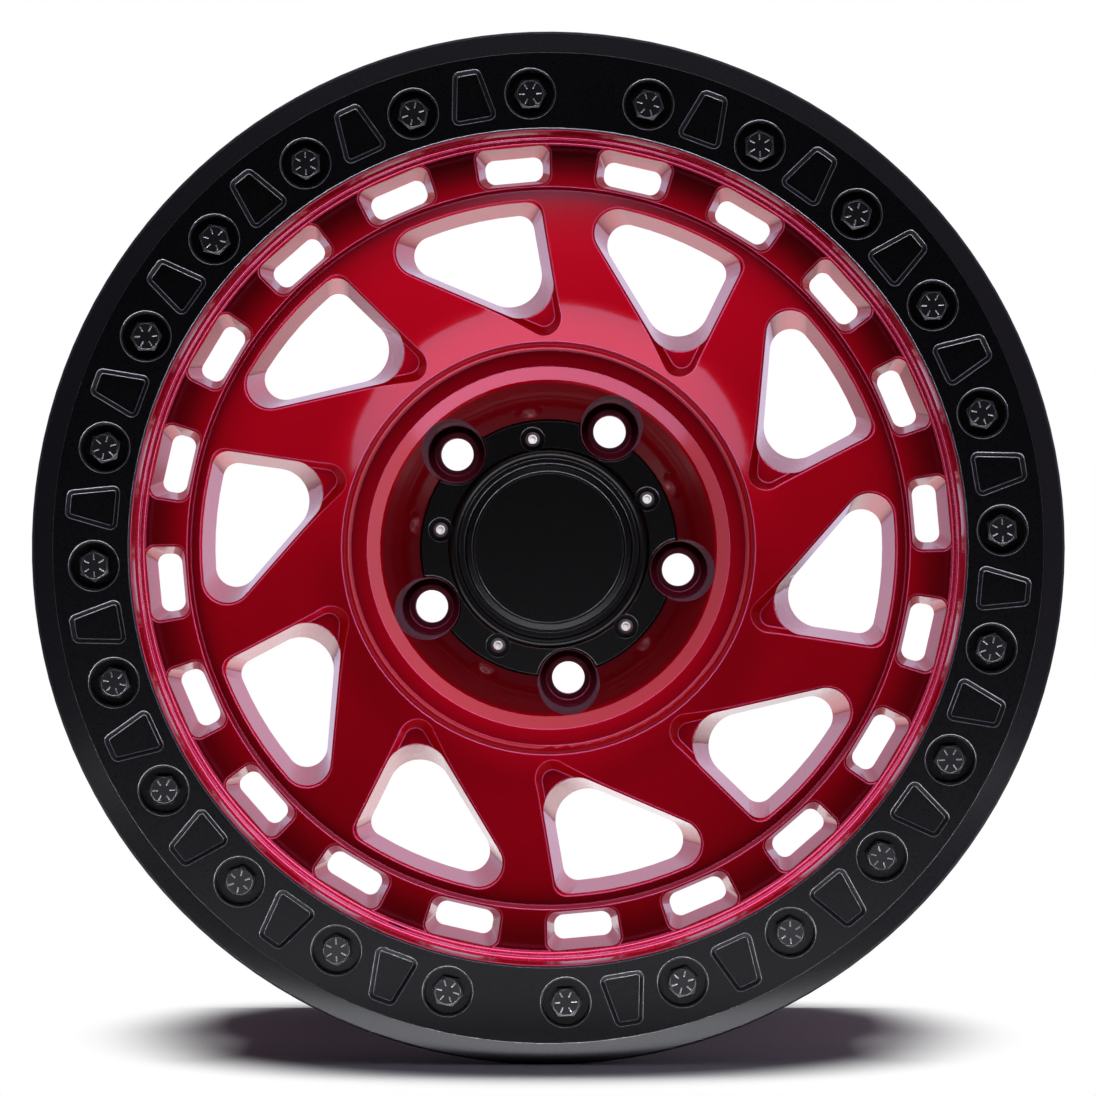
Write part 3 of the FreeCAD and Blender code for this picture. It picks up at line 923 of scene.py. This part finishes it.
@dataclass
class Studio:
    """White floor and surroundings, soft lamps and the camera.

    Attributes:
        floor_white: the floor's colour in the first light that it throws back.
        floor_again: the floor's colour in light that a matt surface has thrown back before.
        floor_edge: place along Y where the apron ends and the floor begins.
        clear_near: distance from the middle of the floor where its shadow begins to clear.
        clear_far: distance where the floor is plain white to the camera.
        front_level: strength of the surroundings in front of the wheel.
        side_level: strength beside the wheel.
        back_share: share of the side's strength that is left behind the wheel.
        matt_share: share of the strength that is left for matt surfaces.
        front_until: direction along Y up to which the front's strength holds.
        side_from: direction along Y from which the side's strength holds.
        back_from: direction along Y from which the back's share holds.
        side_lean: how much stronger the right side is than the middle.
    """

    floor_white: Colour = (0.92, 0.92, 0.92)
    floor_again: Colour = (0.1, 0.1, 0.1)
    floor_half_width: float = 1.6
    floor_back: float = 2.0
    floor_edge: float = -0.16
    floor_front: float = -0.9
    clear_near: float = 0.165
    clear_far: float = 0.235
    front_level: float = 0.02
    side_level: float = 1.5
    back_share: float = 0.55
    matt_share: float = 0.05
    front_until: float = -0.8
    side_from: float = -0.2
    back_from: float = 0.5
    side_lean: float = 0.3
    side_tint: Colour = (1.0, 0.9, 1.2)
    camera_distance: float = 2.0
    camera_side: float = 0.008
    lens: float = 144.2
    sensor: float = 36.0
    lamps: tuple[SoftBox, ...] = (
        SoftBox("top_box", place=(0.0, 0.06, 1.35), aim=(0.0, 0.06, 0.0), width=1.2, height=0.2,
                power=38.0, lights=Lit.MATT),
        SoftBox("front_box", place=(0.0, -1.75, 1.02), aim=(0.0, 0.0, 1.02), width=2.8, height=1.2,
                power=23.0, colour=(1.0, 0.85, 1.35), only=RED_PIECES),
        SoftBox("floor_glow", place=(0.0, -0.195, GLOW_HEIGHT), aim=(0.0, -0.195, 0.0), width=1.2,
                height=0.075, power=0.55, colour=(1.0, 0.8, 1.5), only=RED_PIECES),
        SoftBox("toe_glow", place=(0.0, -0.1485, GLOW_HEIGHT), aim=(0.0, -0.1485, 0.0), width=1.2,
                height=0.018, power=1.1, colour=COOL_WHITE, only=BLACK_PIECES),
        SoftBox("low_glow", place=(0.0, -0.52, GLOW_HEIGHT), aim=(0.0, -0.52, 0.0), width=1.0,
                height=0.45, power=9.5, colour=COOL_WHITE, only=BLACK_PIECES),
        SoftBox("edge_box", place=(0.0, -1.5, 0.9), aim=(0.0, -0.14, 0.0), width=0.9, height=0.25,
                power=3.8, colour=COOL_WHITE, only=BLACK_PIECES),
        SoftBox("screw_box", place=(0.3, -1.7, 0.6), aim=(0.0, 0.0, 0.0), width=0.7, height=0.7,
                power=14.0, colour=(1.0, 0.98, 0.98), only=(Part.SCREWS.value,)),
    )

    def build(self) -> None:
        """Make the whole studio."""
        self.world()
        self.floor()
        for lamp in self.lamps:
            lamp.build()
        self.camera()
        bpy.context.scene.view_settings.view_transform = "Standard"

    def world(self) -> None:
        """White behind the wheel and where the camera looks, dim in front of the wheel."""
        world = bpy.data.worlds.new("studio")
        world.use_nodes = True
        graph = Graph(world.node_tree)
        split = graph.add("ShaderNodeSeparateXYZ")
        graph.feed(split.inputs[0], graph.add("ShaderNodeTexCoord").outputs["Generated"])
        to_right, to_back = split.outputs["X"], split.outputs["Y"]
        level = graph.ramp(to_back, self.front_until, self.side_from, self.front_level, self.side_level)
        behind = graph.ramp(to_back, 0.0, self.back_from, 1.0, self.back_share)
        level = graph.calc("MULTIPLY", level, behind)
        side = graph.calc("MULTIPLY_ADD", to_right, self.side_lean, 1.0)
        matt = graph.between(graph.bounced(), 1.0, self.matt_share)
        level = graph.calc("MULTIPLY", graph.calc("MULTIPLY", level, side), matt)
        rays = graph.add("ShaderNodeLightPath")
        seen = graph.calc("MAXIMUM", rays.outputs["Is Camera Ray"], rays.outputs["Is Transmission Ray"])
        light = graph.add("ShaderNodeBackground")
        graph.feed(light.inputs["Color"], graph.mix(seen, self.side_tint, WHITE))
        graph.feed(light.inputs["Strength"], graph.between(seen, level, 1.0))
        output = graph.add("ShaderNodeOutputWorld")
        graph.feed(output.inputs["Surface"], light.outputs["Background"])
        bpy.context.scene.world = world

    def floor(self) -> None:
        """Pale floor that holds the shadow, and an apron before it that lights matt surfaces only."""
        white = self.floor_material()
        self.sheet("floor", self.floor_edge, self.floor_back, white)
        apron = self.sheet("floor_apron", self.floor_front, self.floor_edge, white)
        apron.visible_glossy = False

    def sheet(self, name: str, front: float, back: float, white: bpy.types.Material) -> bpy.types.Object:
        """Make one sheet of the floor.

        Args:
            name: name of the object.
            front: place of the front edge along Y.
            back: place of the back edge along Y.
            white: material of the floor.

        Returns:
            The sheet's object.
        """
        shape = bmesh.new()
        bmesh.ops.create_grid(shape, x_segments=1, y_segments=1, size=1.0)
        size = Vector((self.floor_half_width, (back - front) / 2, 1.0))
        bmesh.ops.scale(shape, vec=size, verts=shape.verts)
        middle = Vector((0.0, (back + front) / 2, -RADIUS))
        bmesh.ops.translate(shape, vec=middle, verts=shape.verts)
        sheet = as_object(shape, name)
        sheet.data.materials.append(white)
        return sheet

    def floor_material(self) -> bpy.types.Material:
        """White matt floor that is plain white to the camera away from the wheel.

        Returns:
            The finished material.
        """
        material = bpy.data.materials.new("floor_white")
        material.use_nodes = True
        graph = Graph(material.node_tree)
        matt = graph.add("ShaderNodeBsdfDiffuse")
        graph.feed(matt.inputs["Color"], graph.mix(graph.bounced(), self.floor_white, self.floor_again))
        white = graph.add("ShaderNodeEmission")
        away = graph.add("ShaderNodeVectorMath", operation="LENGTH")
        graph.feed(away.inputs[0], graph.place())
        square = graph.calc("POWER", away.outputs["Value"], 2.0)
        across = graph.calc("SQRT", graph.calc("SUBTRACT", square, RADIUS * RADIUS))
        far = graph.ramp(across, self.clear_near, self.clear_far)
        rays = graph.add("ShaderNodeLightPath")
        blend = graph.add("ShaderNodeMixShader")
        graph.feed(blend.inputs[0], graph.calc("MULTIPLY", far, rays.outputs["Is Camera Ray"]))
        graph.feed(blend.inputs[1], matt.outputs["BSDF"])
        graph.feed(blend.inputs[2], white.outputs["Emission"])
        output = graph.add("ShaderNodeOutputMaterial")
        graph.feed(output.inputs["Surface"], blend.outputs["Shader"])
        return material

    def camera(self) -> None:
        """Camera in front of the wheel, a little to the right of its axis."""
        data = bpy.data.cameras.new("camera")
        data.lens = self.lens
        data.sensor_width = self.sensor
        camera = bpy.data.objects.new("camera", data)
        target = Vector((0.0, FRONT, 0.0))
        camera.location = target + Vector((self.camera_side, -self.camera_distance, 0.0))
        camera.rotation_euler = (target - camera.location).to_track_quat("-Z", "Y").to_euler()
        bpy.context.scene.collection.objects.link(camera)
        bpy.context.scene.camera = camera


def main() -> None:
    """Build the wheel's looks and the studio in order."""
    logging.basicConfig(level=logging.INFO, format="%(name)s: %(message)s")
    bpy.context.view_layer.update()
    for assembly in (WheelCasting(), ClampRing(), RingBolts(), CentreCap(), CapScrews()):
        assembly.build()
    Studio().build()


if __name__ == "__main__":
    main()
